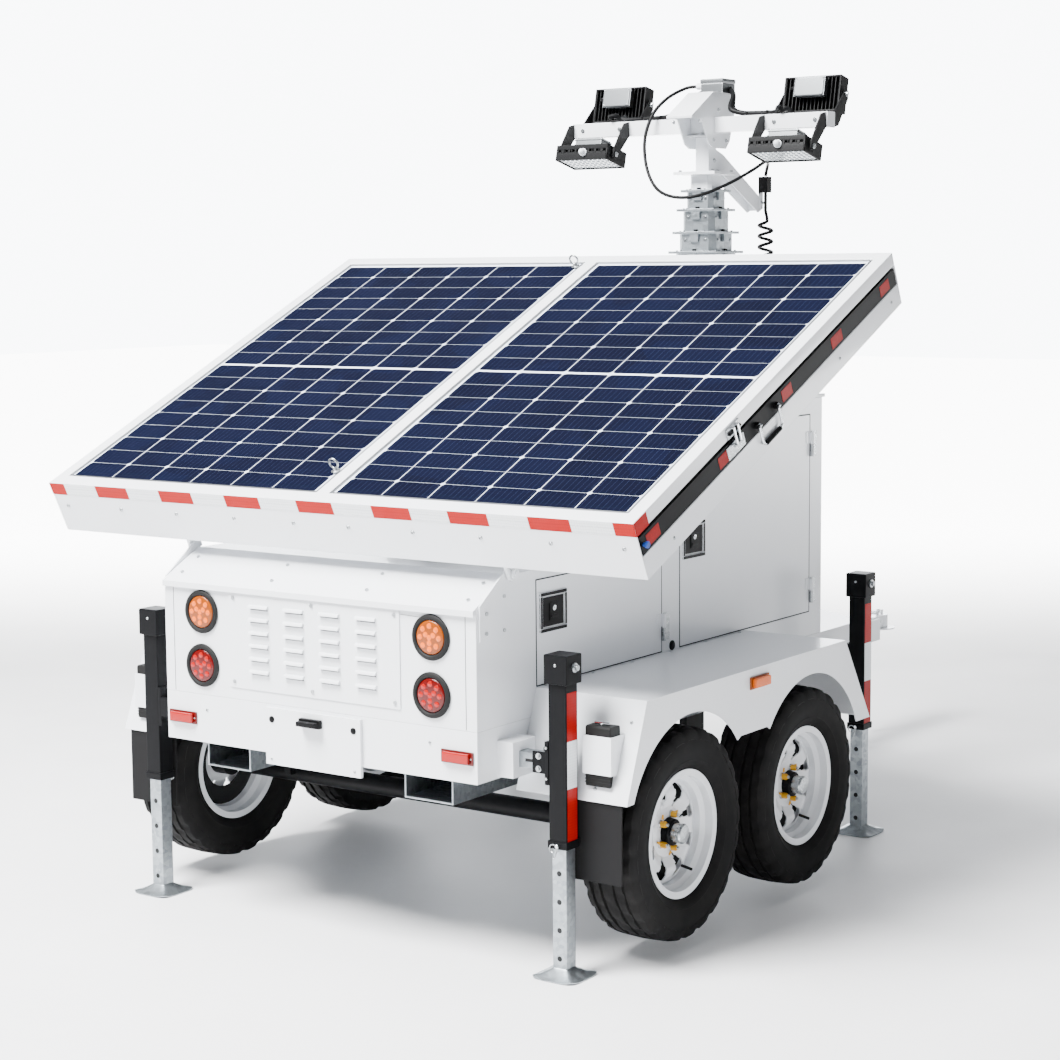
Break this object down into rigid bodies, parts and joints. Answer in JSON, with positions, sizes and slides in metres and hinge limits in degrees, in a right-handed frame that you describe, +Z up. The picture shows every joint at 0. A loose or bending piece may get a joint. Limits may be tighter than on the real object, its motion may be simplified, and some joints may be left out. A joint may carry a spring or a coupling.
{
  "type": "solar light tower trailer",
  "caption": "Tandem-axle trailer with a tilting solar array over a white cabinet, a telescopic mast in front carrying floodlights, and slide-out jacks.",
  "frame": {"origin": "on the ground under the jack feet, at the middle of the part's footprint", "axes": "+Z up, +Y towards the coupler, +X towards the right side seen from behind"},
  "size_m": [2.458, 4.184, 2.925],
  "materials": {
    "white_paint": "satin",
    "galvanised": "satin",
    "black_paint": "satin",
    "black_rubber": "matte",
    "tyre_rubber": "matte",
    "amber_lens": "gloss",
    "red_lens": "gloss",
    "aluminium": "satin",
    "cell_glass": "gloss",
    "black_plastic": "matte",
    "zinc": "satin",
    "chrome": "gloss"
  },
  "bodies": {
    "trailer": {"underframe": "galvanised", "main_frame": "white_paint", "body_shell": "white_paint", "rear_cover": "white_paint", "rear_panels": "white_paint", "lamp_housings": "black_rubber", "amber_lamps": "amber_lens", "red_lamps": "red_lens", "fenders": "white_paint", "mud_flaps": "black_rubber", "chock_holders": "white_paint", "wheel_chocks": "black_rubber", "array_brackets": "white_paint", "door_hinges": "zinc", "panel_screws": "zinc", "axles": "black_paint", "coupler": "white_paint", "safety_chain": "zinc", "mast_section_1": "galvanised", "battery_bank": "black_plastic", "cord_box": "black_plastic", "curly_cord": "black_rubber"},
    "latch_lever": {"coupler_latch": "zinc"},
    "array": {"array_tray": "white_paint", "array_top_frame": "white_paint", "solar_modules": "cell_glass"},
    "right_drawer": {"drawer_right": "black_paint"},
    "left_drawer": {"drawer_left": "black_paint"},
    "right_handle": {"drawer_handle_right": "chrome"},
    "left_handle": {"drawer_handle_left": "chrome"},
    "barrels": {"strut_barrels": "black_paint"},
    "rods": {"strut_rods": "chrome"},
    "low_door": {"lower_door_right": "white_paint"},
    "right_door": {"tall_door_right": "white_paint"},
    "left_door": {"tall_door_left": "white_paint"},
    "low_latch": {"latch_lower_right": "black_plastic"},
    "right_latch": {"latch_tall_right": "black_plastic"},
    "left_latch": {"latch_tall_left": "black_plastic"},
    "mast_2": {"mast_section_2": "galvanised"},
    "mast_3": {"mast_section_3": "galvanised"},
    "mast_4": {"mast_section_4": "galvanised"},
    "mast_5": {"mast_top": "white_paint"},
    "head": {"light_head": "white_paint", "loop_cable": "black_rubber"},
    "rear_right_wheel": {"wheel_rear_right": "tyre_rubber"},
    "rear_right_outrigger": {"outrigger_rear_right": "white_paint"},
    "rear_right_leg": {"leg_rear_right": "galvanised"},
    "rear_right_lamp": {"floodlight_rear_right": "black_paint"},
    "rear_left_wheel": {"wheel_rear_left": "tyre_rubber"},
    "rear_left_outrigger": {"outrigger_rear_left": "white_paint"},
    "rear_left_leg": {"leg_rear_left": "galvanised"},
    "rear_left_lamp": {"floodlight_rear_left": "black_paint"},
    "front_right_wheel": {"wheel_front_right": "tyre_rubber"},
    "front_right_outrigger": {"outrigger_front_right": "white_paint"},
    "front_right_leg": {"leg_front_right": "galvanised"},
    "front_right_lamp": {"floodlight_front_right": "black_paint"},
    "front_left_wheel": {"wheel_front_left": "tyre_rubber"},
    "front_left_outrigger": {"outrigger_front_left": "white_paint"},
    "front_left_leg": {"leg_front_left": "galvanised"},
    "front_left_lamp": {"floodlight_front_left": "black_paint"}
  },
  "joints": [
    {"name": "array_tilt", "type": "hinge", "parent": "trailer", "child": "array", "pos_m": [0, -1.872, 1.245], "axis": [1, 0, 0], "range_deg": [0, 20]},
    {"name": "strut_swing", "type": "hinge", "parent": "trailer", "child": "barrels", "pos_m": [0, -0.99, 1.262], "axis": [1, 0, 0], "range_deg": [0, 19.2]},
    {"name": "strut_stroke", "type": "slide", "parent": "barrels", "child": "rods", "axis": [0, 0.1181, 0.993], "range_m": [0, 0.3068]},
    {"name": "right_drawer_slide", "type": "slide", "parent": "array", "child": "right_drawer", "axis": [1, 0, 0], "range_m": [0, 1.1]},
    {"name": "left_drawer_slide", "type": "slide", "parent": "array", "child": "left_drawer", "axis": [-1, 0, 0], "range_m": [0, 1.1]},
    {"name": "right_handle_lift", "type": "hinge", "parent": "right_drawer", "child": "right_handle", "pos_m": [1.221, -1.24765, 1.71268], "axis": [0, -0.9063, -0.4226], "range_deg": [0, 100]},
    {"name": "left_handle_lift", "type": "hinge", "parent": "left_drawer", "child": "left_handle", "pos_m": [-1.221, -1.24765, 1.71268], "axis": [0, 0.9063, 0.4226], "range_deg": [0, 100]},
    {"name": "low_door_swing", "type": "hinge", "parent": "trailer", "child": "low_door", "pos_m": [0.661, -0.969, 1.035], "axis": [0, 0, 1], "range_deg": [0, 110]},
    {"name": "right_door_swing", "type": "hinge", "parent": "trailer", "child": "right_door", "pos_m": [0.661, 0.096, 1.24], "axis": [0, 0, 1], "range_deg": [0, 95]},
    {"name": "left_door_swing", "type": "hinge", "parent": "trailer", "child": "left_door", "pos_m": [-0.661, 0.096, 1.24], "axis": [0, 0, -1], "range_deg": [0, 95]},
    {"name": "low_latch_pull", "type": "hinge", "parent": "low_door", "child": "low_latch", "pos_m": [0.6563, -1.632, 1.141], "axis": [0, -1, 0], "range_deg": [0, 35]},
    {"name": "right_latch_pull", "type": "hinge", "parent": "right_door", "child": "right_latch", "pos_m": [0.6563, -0.766, 1.278], "axis": [0, -1, 0], "range_deg": [0, 35]},
    {"name": "left_latch_pull", "type": "hinge", "parent": "left_door", "child": "left_latch", "pos_m": [-0.6563, -0.766, 1.278], "axis": [0, 1, 0], "range_deg": [0, 35]},
    {"name": "rear_right_wheel_spin", "type": "hinge", "parent": "trailer", "child": "rear_right_wheel", "pos_m": [0.955, -1.457, 0.384], "axis": [1, 0, 0], "continuous": true},
    {"name": "rear_left_wheel_spin", "type": "hinge", "parent": "trailer", "child": "rear_left_wheel", "pos_m": [-0.955, -1.457, 0.384], "axis": [1, 0, 0], "continuous": true},
    {"name": "front_right_wheel_spin", "type": "hinge", "parent": "trailer", "child": "front_right_wheel", "pos_m": [0.955, -0.66, 0.384], "axis": [1, 0, 0], "continuous": true},
    {"name": "front_left_wheel_spin", "type": "hinge", "parent": "trailer", "child": "front_left_wheel", "pos_m": [-0.955, -0.66, 0.384], "axis": [1, 0, 0], "continuous": true},
    {"name": "rear_right_outrigger_slide", "type": "slide", "parent": "trailer", "child": "rear_right_outrigger", "axis": [1, 0, 0], "range_m": [0, 0.3]},
    {"name": "rear_right_leg_lift", "type": "slide", "parent": "rear_right_outrigger", "child": "rear_right_leg", "axis": [0, 0, 1], "range_m": [0, 0.27]},
    {"name": "rear_left_outrigger_slide", "type": "slide", "parent": "trailer", "child": "rear_left_outrigger", "axis": [-1, 0, 0], "range_m": [0, 0.3]},
    {"name": "rear_left_leg_lift", "type": "slide", "parent": "rear_left_outrigger", "child": "rear_left_leg", "axis": [0, 0, 1], "range_m": [0, 0.27]},
    {"name": "front_right_outrigger_slide", "type": "slide", "parent": "trailer", "child": "front_right_outrigger", "axis": [1, 0, 0], "range_m": [0, 0.3]},
    {"name": "front_right_leg_lift", "type": "slide", "parent": "front_right_outrigger", "child": "front_right_leg", "axis": [0, 0, 1], "range_m": [0, 0.27]},
    {"name": "front_left_outrigger_slide", "type": "slide", "parent": "trailer", "child": "front_left_outrigger", "axis": [-1, 0, 0], "range_m": [0, 0.3]},
    {"name": "front_left_leg_lift", "type": "slide", "parent": "front_left_outrigger", "child": "front_left_leg", "axis": [0, 0, 1], "range_m": [0, 0.27]},
    {"name": "mast_raise", "type": "slide", "parent": "trailer", "child": "mast_5", "axis": [0, 0, 1], "range_m": [0, 4.4], "deforming": ["curly_cord"]},
    {"name": "mast_2_raise", "type": "slide", "parent": "trailer", "child": "mast_2", "axis": [0, 0, 1], "range_m": [0, 1.1]},
    {"name": "mast_3_raise", "type": "slide", "parent": "trailer", "child": "mast_3", "axis": [0, 0, 1], "range_m": [0, 2.2]},
    {"name": "mast_4_raise", "type": "slide", "parent": "trailer", "child": "mast_4", "axis": [0, 0, 1], "range_m": [0, 3.3]},
    {"name": "head_pan", "type": "hinge", "parent": "mast_5", "child": "head", "pos_m": [0, 0.421, 2.665], "axis": [0, 0, 1], "range_deg": [-45, 45], "deforming": ["loop_cable"]},
    {"name": "rear_right_lamp_tilt", "type": "hinge", "parent": "head", "child": "rear_right_lamp", "pos_m": [0.42, 0.287, 2.632], "axis": [1, 0, 0], "range_deg": [-25, 25]},
    {"name": "rear_left_lamp_tilt", "type": "hinge", "parent": "head", "child": "rear_left_lamp", "pos_m": [-0.48, 0.287, 2.632], "axis": [1, 0, 0], "range_deg": [-25, 25]},
    {"name": "front_right_lamp_tilt", "type": "hinge", "parent": "head", "child": "front_right_lamp", "pos_m": [0.42, 0.555, 2.844], "axis": [1, 0, 0], "range_deg": [-25, 25]},
    {"name": "front_left_lamp_tilt", "type": "hinge", "parent": "head", "child": "front_left_lamp", "pos_m": [-0.48, 0.555, 2.844], "axis": [1, 0, 0], "range_deg": [-25, 25]},
    {"name": "coupler_latch_lift", "type": "hinge", "parent": "trailer", "child": "latch_lever", "pos_m": [0, 2.02, 0.558], "axis": [-1, 0, 0], "range_deg": [0, 60]}
  ],
  "couplings": [
    {"joint": "strut_swing", "follows": "array_tilt", "ratio": 0.9572},
    {"joint": "strut_stroke", "follows": "array_tilt", "m_per_rad": 0.8779},
    {"joint": "mast_2_raise", "follows": "mast_raise", "ratio": 0.25},
    {"joint": "mast_3_raise", "follows": "mast_raise", "ratio": 0.5},
    {"joint": "mast_4_raise", "follows": "mast_raise", "ratio": 0.75}
  ]
}
